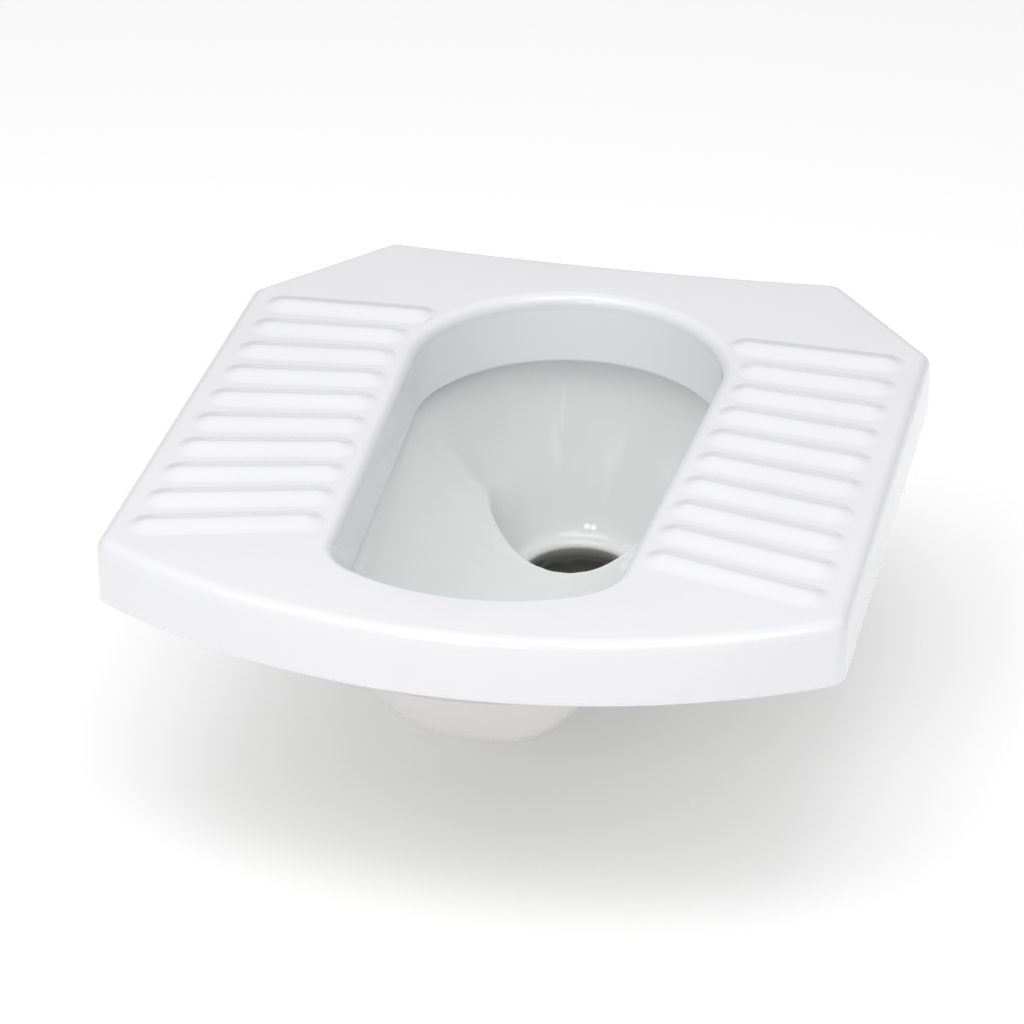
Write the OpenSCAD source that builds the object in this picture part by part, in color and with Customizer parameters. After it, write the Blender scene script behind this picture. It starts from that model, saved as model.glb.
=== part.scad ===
// Squat pan of glazed vitreous china, with ribbed foot treads and a box flush rim.
// It is built from the clay sections that a pan is cast in and joined from before firing.
// Millimetres. The origin is the centre of the outlet spigot's lower end, +Z is up,
// and +Y points to the back edge, the one with the cut corners.

/* [Deck] */
// Width of the deck across the foot treads
deck_w = 482; // [440:1:560]
// Distance from the outlet axis forward to the ends of the front edge
deck_front = 355; // [340:1:400]
// How far the front edge bows forward of its ends
front_bow = 70; // [50:1:90]
// Distance from the outlet axis back to where the sides turn in
side_back = 22; // [5:1:35]
// Distance from the outlet axis back to the back corners
deck_back = 120; // [112:1:160]
// Width between the back corners
back_w = 325; // [290:1:360]
// How far the back edge dips in between its corners
back_dip = 6.5; // [3:0.5:10]
// Thickness of the deck
deck_t = 11; // [9:0.5:14]
// Depth of the skirt below the deck's top
skirt_h = 46; // [36:1:60]
// Thickness of the skirt
skirt_t = 10; // [8:0.5:12]
// Radius of the deck's rounded outer edge
edge_r = 9; // [5:0.5:10]
// Radius of the skirt's lower outer edge
hem_r = 5; // [3:0.5:6]
// Plan radius of the two front corners
front_corner_r = 17; // [13:1:30]
// Plan radius of the four back corners
back_corner_r = 14; // [13:1:24]

/* [Basin opening] */
// Distance from the outlet axis forward to the opening's front end
open_front = 371; // [340:1:372]
// Distance from the outlet axis back to the opening's back end
open_back = 58; // [54:1:64]
// Width of the opening at its front gauge line
open_w_front = 186; // [170:1:200]
// Width of the opening at its back gauge line
open_w_back = 211; // [202:1:220]
// Distance from the outlet axis forward to the front gauge line
gauge_front = 316; // [290:1:325]
// Distance from the outlet axis forward to the back gauge line
gauge_back = 62; // [50:1:90]
// Radius of the opening's front end
open_front_r = 148; // [120:1:200]
// Radius where the front end meets the sides
open_front_corner_r = 43; // [30:1:55]
// How much the radius of the back end is more than half the width at the back gauge line
open_back_ease = 2.5; // [1.5:0.5:12]
// Radius where the back end meets the sides
open_back_corner_r = 90; // [70:1:100]
// Radius of the lip where the deck turns down into the basin
lip_r = 8; // [4:0.5:9]

/* [Foot treads] */
// Number of ribs on each tread
rib_count = 10; // [6:1:11]
// Height of a rib above the deck
rib_h = 4; // [2:0.25:5]
// Radius of a rib's rounded crown
rib_crown_r = 11; // [7:0.5:14]
// Radius of the hollow where a rib runs out into the deck
rib_root_r = 13; // [6:0.5:16]
// Distance from the outlet axis back to the first rib's inner end
rib_start = 4; // [-10:1:8]
// Pitch of the ribs at their inner ends
rib_pitch_in = 34; // [32:0.5:35]
// Pitch of the ribs at their outer ends
rib_pitch_out = 36.5; // [34:0.5:37]
// How much further forward the first rib's outer end lies than its inner end
rib_lead = 4; // [0:1:10]
// Gap from the opening to the ribs' inner ends
rib_gap_in = 13; // [12:0.5:18]
// Gap from the ribs' outer ends to the deck's side
rib_gap_out = 19; // [14:0.5:30]

/* [Flush rim] */
// Depth of the flush rim's lower edge below the deck's top
rim_drop = 52; // [46:1:60]
// Overall width of the flush rim's box section
rim_w = 31; // [28:0.5:33]
// Wall of the flush rim
rim_wall = 8; // [6:0.5:9]
// Radius of the rim's lower inner edge
rim_edge_r = 3; // [1.5:0.5:3.5]
// Diameter of a wash hole
wash_d = 4; // [3:0.5:4.5]
// Wash holes along each side of the rim
wash_side = 6; // [3:1:9]
// Wash holes round the back end of the rim
wash_back = 6; // [3:1:9]
// Wash holes round the front end of the rim
wash_front = 3; // [2:1:5]
// Width that the bowl is set back under the rim
recess = 15; // [10:0.5:18]

/* [Bowl] */
// Depth of the shelf below the flush rim at the front
shelf_depth = 73; // [60:1:80]
// Further depth of the shelf where it meets the funnel
shelf_fall = 31; // [20:1:36]
// Length of the shelf's rounded front end
shelf_end = 90; // [70:1:115]
// Distance from the outlet axis forward to the funnel's edge
funnel_front = 61.5; // [58:0.5:75]
// Distance from the outlet axis to the funnel's edge at each side
funnel_side = 77; // [70:1:90]
// Wall of the bowl
bowl_wall = 10; // [8:0.5:12]
// Thickness of the bowl's top flange
flange_t = 8; // [6:0.5:10]

/* [Outlet spigot] */
// Depth of the spigot's lower end below the deck's top
pan_h = 232; // [220:1:260]
// Length of the spigot below the bowl
spigot_len = 46; // [38:1:60]
// Bore of the outlet
outlet_d = 78; // [70:1:82]
// Outside diameter of the spigot
spigot_d = 102; // [98:1:108]
// Radius of the bore's mouth in the bowl
mouth_r = 6; // [3:0.5:8]
// Radius of the spigot's lower edge
spigot_edge_r = 2; // [1:0.5:3]

/* [Flush inlet] */
// Bore of the inlet horn, which takes the flush pipe
inlet_d = 33; // [30:0.5:34]
// Diameter of the port from the horn into the flush rim
port_d = 25; // [20:0.5:27]
// Thickness of the wall round the port, which stops the pipe
stop_t = 3; // [2:0.5:5]
// Outside diameter of the inlet horn
inlet_od = 50; // [48:1:54]
// Depth of the horn's axis below the deck's top
inlet_drop = 40; // [37:0.5:42]
// How far the horn's end stays inside the back edge
inlet_inset = 4; // [2:0.5:8]
// Gap round the horn in the skirt's notch
notch_gap = 5; // [3:0.5:8]

/* [Webs] */
// Number of webs under each tread
web_count = 3; // [2:1:4]
// Thickness of a web
web_t = 9; // [7:0.5:12]
// Depth of a web below the deck's top at its ends
web_drop = 42; // [34:1:45]
// Rise of the arch under a web
web_arch = 10; // [4:1:14]
// Distance from the outlet axis forward to the first web
web_start = 60; // [54:1:90]
// Distance from the outlet axis forward to the last web
web_end = 300; // [260:1:310]

/* [Hidden] */
$fn = 64;

china = [0.93, 0.93, 0.95];
china_under = [0.85, 0.85, 0.83];
bowl_tint = [0.80, 0.81, 0.81];

half_w = deck_w / 2;
deck_z = pan_h;
under_z = deck_z - deck_t;
rim_z = deck_z - rim_drop;
joint_z = spigot_len;
over = 1;
inner_hem_r = 3;

// ---- Plane geometry. A path is a loop of arcs and lines, run anticlockwise. ----
// An arc is [centre, radius, start, end, side]: side is 1 where the deck is inside the
// circle and -1 where it is outside. A line is [from, to].

function unit(v) = v / norm(v);
function polar(a) = [cos(a), sin(a)];
function angle_of(v) = atan2(v.y, v.x);
function is_arc(s) = len(s) == 5;
function line_normal(s) = let (d = unit(s[1] - s[0])) [d.y, -d.x];
function flip(p) = [-p.x, p.y];
function mirrored(s) = is_arc(s)
    ? [flip(s[0]), s[1], 180 - s[3], 180 - s[2], s[4]]
    : [flip(s[1]), flip(s[0])];

// The point at share t of a segment, moved out by off.
function at(s, t, off) = is_arc(s)
    ? s[0] + (s[1] + s[4] * off) * polar(s[2] + t * (s[3] - s[2]))
    : s[0] + t * (s[1] - s[0]) + off * line_normal(s);
// The direction that faces out at share t of a segment.
function out_angle(s, t) = is_arc(s)
    ? s[2] + t * (s[3] - s[2]) + (s[4] < 0 ? 180 : 0)
    : angle_of(line_normal(s));
// Points along a path, with counts[i] of them on segment i.
function loop_points(path, counts, off) =
    [for (i = [0:len(path) - 1]) for (k = [0:counts[i] - 1]) at(path[i], k / counts[i], off)];

// Centre of the corner circle of radius r that touches the side line x = slope * y + foot
// and, from inside, the end circle of radius end_r about [0, end_y].
function corner_centre(slope, foot, r, end_r, end_y, way) =
    let (side = foot - r * sqrt(1 + slope * slope),
         a = slope * slope + 1,
         b = 2 * (slope * side - end_y),
         c = side * side + end_y * end_y - pow(end_r - r, 2),
         y = (-b + way * sqrt(b * b - 4 * a * c)) / (2 * a))
    [slope * y + side, y];

// ---- The deck's outline ----
bow_r = (half_w * half_w + front_bow * front_bow) / (2 * front_bow);
bow_c = [0, bow_r - deck_front - front_bow];
front_c = corner_centre(0, half_w, front_corner_r, bow_r, bow_c.y, -1);
front_a = angle_of(front_c - bow_c);

back_half = back_w / 2;
dip_r = (back_half * back_half + back_dip * back_dip) / (2 * back_dip);
dip_c = [0, deck_back - back_dip + dip_r];
chamfer_from = [half_w, side_back];
chamfer_dir = unit([back_half, deck_back] - chamfer_from);
chamfer_n = [chamfer_dir.y, -chamfer_dir.x];
chamfer_a = angle_of(chamfer_n);
turn_c = [half_w - back_corner_r, side_back - back_corner_r * tan(chamfer_a / 2)];
// The back corner's centre runs along the chamfer, one radius inside it.
rail = chamfer_from - back_corner_r * chamfer_n - dip_c;
rail_b = rail * chamfer_dir;
rail_c = rail * rail - pow(dip_r + back_corner_r, 2);
rail_t = -rail_b - sqrt(rail_b * rail_b - rail_c);
back_c = rail + dip_c + rail_t * chamfer_dir;
back_a = angle_of(dip_c - back_c);
dip_a = angle_of(back_c - dip_c);

deck_side = [
    [front_c, front_corner_r, front_a, 0, 1],
    [front_c + [front_corner_r, 0], turn_c + [back_corner_r, 0]],
    [turn_c, back_corner_r, 0, chamfer_a, 1],
    [turn_c + back_corner_r * chamfer_n, back_c + back_corner_r * chamfer_n],
    [back_c, back_corner_r, chamfer_a, back_a, 1],
];
deck_path = concat(
    [[bow_c, bow_r, -180 - front_a, front_a, 1]],
    deck_side,
    [[dip_c, dip_r, dip_a, -180 - dip_a, -1]],
    [for (i = [4:-1:0]) mirrored(deck_side[i])]);
deck_counts = [15, 6, 4, 4, 1, 5, 8, 5, 1, 4, 4, 6];

// ---- The opening's outline ----
side_slope = (open_w_back - open_w_front) / 2 / (gauge_front - gauge_back);
side_foot = open_w_back / 2 + side_slope * gauge_back;
side_a = -atan(side_slope);
of_y = open_front_r - open_front;
open_back_r = open_w_back / 2 + open_back_ease;
ob_y = open_back - open_back_r;
of_c = corner_centre(side_slope, side_foot, open_front_corner_r, open_front_r, of_y, -1);
ob_c = corner_centre(side_slope, side_foot, open_back_corner_r, open_back_r, ob_y, 1);
of_a = angle_of(of_c - [0, of_y]);
ob_a = angle_of(ob_c - [0, ob_y]);

open_side = [
    [of_c, open_front_corner_r, of_a, side_a, 1],
    [of_c + open_front_corner_r * polar(side_a), ob_c + open_back_corner_r * polar(side_a)],
    [ob_c, open_back_corner_r, side_a, ob_a, 1],
];
open_path = concat(
    [[[0, of_y], open_front_r, -180 - of_a, of_a, 1]],
    open_side,
    [[[0, ob_y], open_back_r, ob_a, 180 - ob_a, 1]],
    [for (i = [2:-1:0]) mirrored(open_side[i])]);
lip_counts = [15, 6, 4, 6, 16, 6, 4, 6];
bowl_counts = [8, 7, 12, 6, 16, 6, 12, 7];

// Half the opening's width at y.
function half_open(y) =
    y > ob_c.y + open_back_corner_r * sin(ob_a)
        ? sqrt(max(0, pow(open_back_r, 2) - pow(y - ob_y, 2)))
        : y > ob_c.y + open_back_corner_r * sin(side_a)
            ? ob_c.x + sqrt(max(0, pow(open_back_corner_r, 2) - pow(y - ob_c.y, 2)))
            : side_foot + side_slope * y;

// ---- Lofts ----
// A closed shell through rings of points that follow each other round a section.
module loft(rings) {
    m = len(rings);
    n = len(rings[0]);
    polyhedron(
        points = [for (r = rings) each r],
        faces = [for (k = [0:m - 1]) for (i = [0:n - 1])
            let (a = k * n + i, b = k * n + (i + 1) % n,
                 c = ((k + 1) % m) * n + (i + 1) % n, d = ((k + 1) % m) * n + i)
            each [[a, d, c], [a, c, b]]]);
}

function raised(ring, z) = [for (p = ring) [p.x, p.y, z]];
// The rings that a section's points [out, up] draw along a path, from the deck's top.
function section_rings(path, counts, section) =
    [for (q = section) raised(loop_points(path, counts, q.x), deck_z + q.y)];
// Points of an arc in a section.
function bend(c, r, from, to, steps) =
    [for (k = [0:steps]) c + r * polar(from + k * (to - from) / steps)];

// A copy on each side of the pan.
module each_side(side) {
    if (side < 0) mirror([1, 0, 0]) children();
    else children();
}

// ---- Deck ----
lip_section = concat(
    [[0, -deck_t]],
    bend([lip_r, -lip_r], lip_r, 180, 90, 6));
edge_section = concat(
    bend([-edge_r, -edge_r], edge_r, 90, 0, 6),
    bend([-hem_r, hem_r - skirt_h], hem_r, 0, -90, 3),
    bend([inner_hem_r - skirt_t, inner_hem_r - skirt_h], inner_hem_r, -90, -180, 2),
    [[-skirt_t, -deck_t]]);

module deck() color(china) {
    difference() {
        loft(concat(
            section_rings(open_path, lip_counts, lip_section),
            section_rings(deck_path, deck_counts, edge_section)));
        inlet_notch();
    }
}

// Notch in the back skirt for the flush pipe.
module inlet_notch() {
    r = inlet_od / 2 + notch_gap;
    translate([0, deck_back - back_dip - skirt_t - over, deck_z - inlet_drop]) {
        intersection() {
            rotate([-90, 0, 0]) cylinder(r = r, h = skirt_t + back_dip + 2 * over);
            translate([-r, 0, -r]) cube([2 * r, skirt_t + back_dip + 2 * over, r + inlet_drop - deck_t]);
        }
    }
}

// ---- Foot treads ----
root_z = rib_root_r - 0.4;
root_x = sqrt(pow(rib_crown_r + rib_root_r, 2) - pow(root_z - (rib_h - rib_crown_r), 2));
foot_x = root_x - sqrt(pow(rib_root_r, 2) - pow(root_z, 2));

// Half of a rib's section: a round crown that runs out into the deck in a hollow.
module rib_half() {
    share = rib_crown_r / (rib_crown_r + rib_root_r);
    meet = [root_x * share, rib_h - rib_crown_r + share * (root_z - rib_h + rib_crown_r)];
    intersection() {
        translate([0, rib_h - rib_crown_r]) circle(rib_crown_r);
        square([meet.x, rib_h]);
    }
    difference() {
        translate([meet.x, 0]) square([foot_x - meet.x, meet.y]);
        translate([root_x, root_z]) circle(rib_root_r);
    }
}

function rib_inner(i) = let (y = rib_start - i * rib_pitch_in)
    [half_open(y) + rib_gap_in + foot_x, y];
function rib_outer(i) = [half_w - rib_gap_out - foot_x, rib_start - rib_lead - i * rib_pitch_out];

module rib(from, to) {
    span = norm(to - from);
    translate([from.x, from.y, deck_z]) rotate(angle_of(to - from)) {
        rotate(90) rotate_extrude(angle = 180) rib_half();
        translate([span, 0, 0]) rotate(-90) rotate_extrude(angle = 180) rib_half();
        rotate([90, 0, 90]) linear_extrude(height = span) {
            rib_half();
            mirror([1, 0]) rib_half();
        }
    }
}

module tread(side) each_side(side) {
    for (i = [0:rib_count - 1]) rib(rib_inner(i), rib_outer(i));
}

module left_tread() color(china) tread(-1);
module right_tread() color(china) tread(1);

// ---- Flush rim ----
// Open-topped channel, which the deck closes.
rim_section = concat(
    [[rim_wall, -deck_t], [rim_wall, rim_wall - rim_drop],
     [rim_w - rim_wall, rim_wall - rim_drop], [rim_w - rim_wall, -deck_t],
     [rim_w, -deck_t], [rim_w, -rim_drop]],
    bend([rim_edge_r, rim_edge_r - rim_drop], rim_edge_r, 270, 180, 3),
    [[0, -deck_t]]);

// One slanted wash hole through the channel's floor, at share t of a segment.
wash_in = [rim_wall + wash_d, rim_wall - rim_drop];
wash_out = [(rim_edge_r + recess) / 2, -rim_drop];
wash_a = atan2(wash_in.x - wash_out.x, wash_in.y - wash_out.y);
module wash_hole(s, t) {
    p = at(s, t, 0);
    translate([p.x, p.y, deck_z]) rotate(out_angle(s, t))
        translate([wash_out.x, 0, wash_out.y]) rotate([0, wash_a, 0])
            translate([0, 0, -wash_d]) rotate(90)
                cylinder(d = wash_d, h = norm(wash_in - wash_out) + 2 * wash_d);
}

module wash_holes(s, count) {
    for (i = [0:count - 1]) wash_hole(s, (i + 0.5) / count);
}

// Where the horn opens into the rim channel, above a low sill.
module inlet_port() {
    translate([0, open_back + rim_w - rim_wall - over, deck_z - inlet_drop]) intersection() {
        rotate([-90, 0, 0]) cylinder(d = port_d, h = rim_wall + 2 * over);
        translate([-port_d / 2 - over, -over, inlet_drop - rim_drop + rim_wall + over])
            cube([port_d + 2 * over, rim_wall + 4 * over, port_d]);
    }
}

module flush_rim() color(china) {
    difference() {
        loft(section_rings(open_path, lip_counts, rim_section));
        wash_holes(open_path[0], wash_front);
        wash_holes(open_path[2], wash_side);
        wash_holes(open_path[4], wash_back);
        wash_holes(open_path[6], wash_side);
        inlet_port();
    }
}

// ---- Bowl ----
// The inside runs along rays from the outlet axis to the rim. Its depth below the rim is
// a smooth blend of the shelf's trough and the funnel round the outlet.
mouth_rad = outlet_d / 2 + mouth_r;
bowl_depth = rim_z - joint_z;
shelf_y = shelf_end - open_front - recess;
trough_n = 3.8;
trough_q = 2.35;
trough_b = 1.45;
low_share = 0.8;
funnel_b = 0.3;
crest_soft = 18;
ring_count = 20;
crest_pad = 1.1;

rim_ring = loop_points(open_path, bowl_counts, recess);
flange_ring = loop_points(open_path, bowl_counts, rim_w);
rays = len(rim_ring);

// Share of the way from the trough's middle line to its side at p, 1 at the rim.
function trough_share(p) = let (side = half_open(min(p.y, -gauge_back)) + recess)
    pow(pow(abs(p.x) / side, trough_n)
        + pow(max(0, shelf_y - p.y) / shelf_end, trough_n)
        + pow(max(0, p.y) / (open_back + recess), trough_n), 1 / trough_n);
function trough_depth(p, rim_p) =
    let (q = min(1, trough_share(p) / trough_share(rim_p)),
         fall = min(shelf_fall, low_share * bowl_depth - shelf_depth),
         run = min(1, max(0, (p.y + open_front) / (open_front - funnel_front))))
    (shelf_depth + fall * run) * pow(1 - pow(q, trough_q), trough_b);

// How far the funnel reaches along the ray to rim_p. Behind the outlet it runs up to the rim.
function funnel_reach(rim_p) =
    let (far = norm(rim_p),
         d = unit(rim_p),
         e = 1 / norm([d.x / funnel_side, d.y / (d.y < 0 ? funnel_front : far)]))
    d.y < 0 ? pow(pow(far, -8) + pow(e, -8), -1 / 8) : min(e, far);
function funnel_depth(rho, rim_p) =
    let (u = max(0, (rho - mouth_rad) / (funnel_reach(rim_p) - mouth_rad)))
    u >= 1 ? 0 : bowl_depth * pow(1 - u * u, funnel_b);

// The larger of two depths, rounded off where they are close.
function blend(a, b) = let (h = max(0, 1 - abs(a - b) / crest_soft))
    max(a, b) + h * h * crest_soft / 4;
function inside_depth(p, rim_p) =
    min(bowl_depth, blend(trough_depth(p, rim_p), funnel_depth(norm(p), rim_p)));
function inside_point(t, rim_p) =
    let (mouth = mouth_rad * unit(rim_p), p = mouth + t * (rim_p - mouth))
    [p.x, p.y, rim_z - inside_depth(p, rim_p)];

// The rings' shares of a ray: even over the funnel and its crest, then closer towards the rim.
function crest_share(rim_p) =
    min(0.75, (crest_pad * funnel_reach(rim_p) - mouth_rad) / (norm(rim_p) - mouth_rad));
function spread(k, rim_p) =
    let (c = crest_share(rim_p), half = ring_count / 2)
    k <= half ? c * k / half : c + (1 - c) * sin(90 * (k - half) / half);
inside_rings = [for (k = [0:ring_count])
    [for (i = [0:rays - 1]) inside_point(spread(k, rim_ring[i]), rim_ring[i])]];

function wrap(i) = (i + rays) % rays;
function outward(k, i) =
    let (along = inside_rings[k][wrap(i + 1)] - inside_rings[k][wrap(i - 1)],
         up = inside_rings[k + 1][i] - inside_rings[max(0, k - 1)][i])
    unit(cross(along, up));
function outside_point(k, i) = let (p = inside_rings[k][i] + bowl_wall * outward(k, i))
    [p.x, p.y, min(p.z, rim_z - flange_t - over)];

first_outside = ring_count - 2;
bowl_rings = concat(
    [raised(inside_rings[0], joint_z)],
    [for (k = [1:ring_count - 1]) inside_rings[k]],
    [raised(rim_ring, rim_z), raised(flange_ring, rim_z), raised(flange_ring, rim_z - flange_t)],
    [for (k = [first_outside:-1:2]) [for (i = [0:rays - 1]) outside_point(k, i)]],
    [[for (p = inside_rings[0]) concat(unit([p.x, p.y]) * (mouth_rad + bowl_wall), joint_z)]]);

module bowl() color(bowl_tint) loft(bowl_rings);

// ---- Outlet spigot ----
// Half of its section: a collar under the bowl, a rounded mouth and a rounded lower edge.
collar_h = 12;
collar_edge = 3;
module spigot_section() {
    bore = outlet_d / 2;
    outer = spigot_d / 2;
    neck = mouth_rad + bowl_wall;
    difference() {
        polygon(concat(
            [[bore, joint_z], [bore, 0]],
            bend([outer - spigot_edge_r, spigot_edge_r], spigot_edge_r, -90, 0, 6),
            [[outer, joint_z - collar_h], [neck, joint_z - collar_edge], [neck, joint_z]]));
        translate([bore - over, joint_z - mouth_r]) square([over + mouth_r, mouth_r + over]);
    }
    intersection() {
        translate([bore + mouth_r, joint_z - mouth_r]) circle(mouth_r);
        translate([bore, joint_z - mouth_r - over]) square([mouth_r + over, mouth_r + over]);
    }
}

module outlet_spigot() color(china_under) rotate_extrude($fn = 128) spigot_section();

// ---- Flush inlet ----
module flush_inlet() color(china_under) {
    horn_end = deck_back - back_dip - inlet_inset;
    horn_from = open_back;
    pipe_stop = open_back + rim_w + stop_t;
    difference() {
        translate([0, horn_from, deck_z - inlet_drop]) rotate([-90, 0, 0])
            cylinder(d = inlet_od, h = horn_end - horn_from);
        translate([0, horn_from - over, deck_z - inlet_drop]) rotate([-90, 0, 0])
            cylinder(d = port_d, h = horn_end - horn_from);
        translate([0, pipe_stop, deck_z - inlet_drop]) rotate([-90, 0, 0])
            cylinder(d = inlet_d, h = horn_end - pipe_stop + over);
        linear_extrude(height = deck_z) polygon(loop_points(open_path, lip_counts, rim_w));
        translate([-inlet_od, 0, under_z]) cube([2 * inlet_od, horn_end + over, deck_t]);
    }
}

// ---- Webs ----
// Upright plates under each tread, from the flush rim to the skirt.
module web(y) {
    inner_lo = half_open(y - web_t / 2) + rim_w / cos(side_a);
    inner_hi = half_open(y + web_t / 2) + rim_w / cos(side_a);
    outer = half_w - skirt_t;
    span = outer - inner_lo;
    arch_r = (span * span / 4 + web_arch * web_arch) / (2 * web_arch);
    difference() {
        translate([0, 0, deck_z - web_drop]) linear_extrude(height = web_drop - deck_t)
            polygon([[inner_lo, y - web_t / 2], [outer, y - web_t / 2],
                     [outer, y + web_t / 2], [inner_hi, y + web_t / 2]]);
        translate([(inner_lo + outer) / 2, y + web_t, deck_z - web_drop + web_arch - arch_r])
            rotate([90, 0, 0]) cylinder(r = arch_r, h = 2 * web_t, $fn = 120);
    }
}

module webs(side) each_side(side) {
    for (i = [0:web_count - 1]) web(-web_start - i * (web_end - web_start) / (web_count - 1));
}

module left_webs() color(china_under) webs(-1);
module right_webs() color(china_under) webs(1);

deck();
left_tread();
right_tread();
flush_rim();
bowl();
outlet_spigot();
flush_inlet();
left_webs();
right_webs();
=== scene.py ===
import math

import bmesh
import bpy
import numpy as np
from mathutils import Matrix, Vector


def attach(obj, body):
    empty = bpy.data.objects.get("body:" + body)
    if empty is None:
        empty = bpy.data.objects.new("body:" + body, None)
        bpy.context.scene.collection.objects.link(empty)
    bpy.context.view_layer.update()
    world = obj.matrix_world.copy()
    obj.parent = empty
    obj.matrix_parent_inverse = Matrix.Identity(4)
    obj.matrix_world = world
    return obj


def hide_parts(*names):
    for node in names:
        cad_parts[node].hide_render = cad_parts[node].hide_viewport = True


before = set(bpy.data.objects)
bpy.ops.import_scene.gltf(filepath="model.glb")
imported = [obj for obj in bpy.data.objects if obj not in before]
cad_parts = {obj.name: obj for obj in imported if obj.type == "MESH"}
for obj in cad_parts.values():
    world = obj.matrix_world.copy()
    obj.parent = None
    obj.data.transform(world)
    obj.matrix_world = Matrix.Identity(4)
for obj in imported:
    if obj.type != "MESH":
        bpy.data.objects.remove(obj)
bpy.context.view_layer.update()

# A squat pan of glazed vitreous china. Plan dimensions repeat the construction's, in
# millimetres from the middle of the outlet; heights are measured from the deck's top.
MM = 0.001
DECK_Z = 232.0

deck_w = 482.0
deck_front = 355.0
front_bow = 70.0
side_back = 22.0
deck_back = 120.0
back_w = 325.0
back_dip = 6.5
deck_t = 11.0
skirt_h = 46.0
skirt_t = 10.0
edge_r = 9.0
hem_r = 5.0
inner_hem_r = 3.0
front_corner_r = 17.0
back_corner_r = 14.0

open_front = 371.0
open_back = 58.0
open_w_front = 186.0
open_w_back = 211.0
gauge_front = 316.0
gauge_back = 62.0
open_front_r = 148.0
open_front_corner_r = 43.0
open_back_ease = 2.5
open_back_corner_r = 90.0
lip_r = 8.0

rib_count = 10
rib_foot = 10.66
rib_start = 4.0
rib_pitch_in = 34.0
rib_pitch_out = 36.5
rib_lead = 4.0
rib_gap_in = 13.0
rib_gap_out = 19.0

rim_drop = 52.0
rim_w = 31.0
rim_wall = 8.0
rim_edge_r = 3.0
recess = 15.0

shelf_depth = 73.0
shelf_fall = 31.0
shelf_end = 90.0
funnel_front = 61.5
funnel_side = 66.0
bowl_wall = 10.0
flange_t = 8.0

spigot_len = 46.0
outlet_d = 78.0
spigot_d = 102.0
mouth_r = 6.0
spigot_edge_r = 2.0

inlet_d = 33.0
inlet_od = 50.0
inlet_drop = 40.0
inlet_inset = 4.0
notch_gap = 5.0
port_d = 25.0
stop_t = 3.0
wash_d = 4.0
wash_side = 6
wash_back = 6
wash_front = 3

half_w = deck_w / 2
rim_z = DECK_Z - rim_drop
joint_z = spigot_len


# ---- Plane geometry: a path is a loop of arcs and lines, run anticlockwise ----
# An arc is (centre, radius, start, end, side) and a line is (from, to). Names end in _c for a
# centre, _r for a radius and _a for an angle, in degrees.

def unit(v):
    return v / np.linalg.norm(v, axis=-1, keepdims=True)


def polar(a):
    a = np.radians(a)
    return np.stack([np.cos(a), np.sin(a)], axis=-1)


def angle_of(v):
    return math.degrees(math.atan2(v[1], v[0]))


def along(segment, share, off):
    """Points at these shares of a segment, moved out by off."""
    share = np.asarray(share, float)
    if len(segment) == 5:
        centre, radius, start, end, side = segment
        return centre + (radius + side * off) * polar(start + share * (end - start))
    start, end = segment
    way = unit(end - start)
    return start + share[:, None] * (end - start) + off * np.array([way[1], -way[0]])


def flip(p):
    return np.array([-p[0], p[1]])


def mirrored(segment):
    if len(segment) == 5:
        centre, radius, start, end, side = segment
        return (flip(centre), radius, 180 - end, 180 - start, side)
    return (flip(segment[1]), flip(segment[0]))


def loop_points(path, shares, off):
    return np.concatenate([along(s, t, off) for s, t in zip(path, shares)])


def even(count):
    """Even shares of a segment, from 0 to just before 1."""
    return np.arange(count) / count


def corner_centre(slope, foot, r, end_r, end_y, way):
    """Centre of the corner that touches the side line and, from inside, the end circle."""
    side = foot - r * math.sqrt(1 + slope * slope)
    a = slope * slope + 1
    b = 2 * (slope * side - end_y)
    c = side * side + end_y * end_y - (end_r - r) ** 2
    y = (-b + way * math.sqrt(b * b - 4 * a * c)) / (2 * a)
    return np.array([slope * y + side, y])


# The deck's outline.
bow_r = (half_w ** 2 + front_bow ** 2) / (2 * front_bow)
bow_c = np.array([0, bow_r - deck_front - front_bow])
front_c = corner_centre(0, half_w, front_corner_r, bow_r, bow_c[1], -1)
front_a = angle_of(front_c - bow_c)
back_half = back_w / 2
dip_r = (back_half ** 2 + back_dip ** 2) / (2 * back_dip)
dip_c = np.array([0, deck_back - back_dip + dip_r])
chamfer_from = np.array([half_w, side_back])
chamfer_dir = unit(np.array([back_half, deck_back]) - chamfer_from)
chamfer_n = np.array([chamfer_dir[1], -chamfer_dir[0]])
chamfer_a = angle_of(chamfer_n)
turn_run = back_corner_r * math.tan(math.radians(chamfer_a / 2))
turn_c = np.array([half_w - back_corner_r, side_back - turn_run])
# The back corner rounds the cut into the dip, so its centre lies on the cut's offset line and at
# both radii from the dip's centre.
rail = chamfer_from - back_corner_r * chamfer_n - dip_c
rail_b = rail @ chamfer_dir
rail_t = -rail_b - math.sqrt(rail_b ** 2 - (rail @ rail - (dip_r + back_corner_r) ** 2))
back_c = rail + dip_c + rail_t * chamfer_dir
back_a = angle_of(dip_c - back_c)
dip_a = angle_of(back_c - dip_c)

deck_side = [
    (front_c, front_corner_r, front_a, 0, 1),
    (front_c + [front_corner_r, 0], turn_c + [back_corner_r, 0]),
    (turn_c, back_corner_r, 0, chamfer_a, 1),
    (turn_c + back_corner_r * chamfer_n, back_c + back_corner_r * chamfer_n),
    (back_c, back_corner_r, chamfer_a, back_a, 1),
]
deck_path = (
    [(bow_c, bow_r, -180 - front_a, front_a, 1)]
    + deck_side
    + [(dip_c, dip_r, dip_a, -180 - dip_a, -1)]
    + [mirrored(s) for s in reversed(deck_side)]
)

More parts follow.
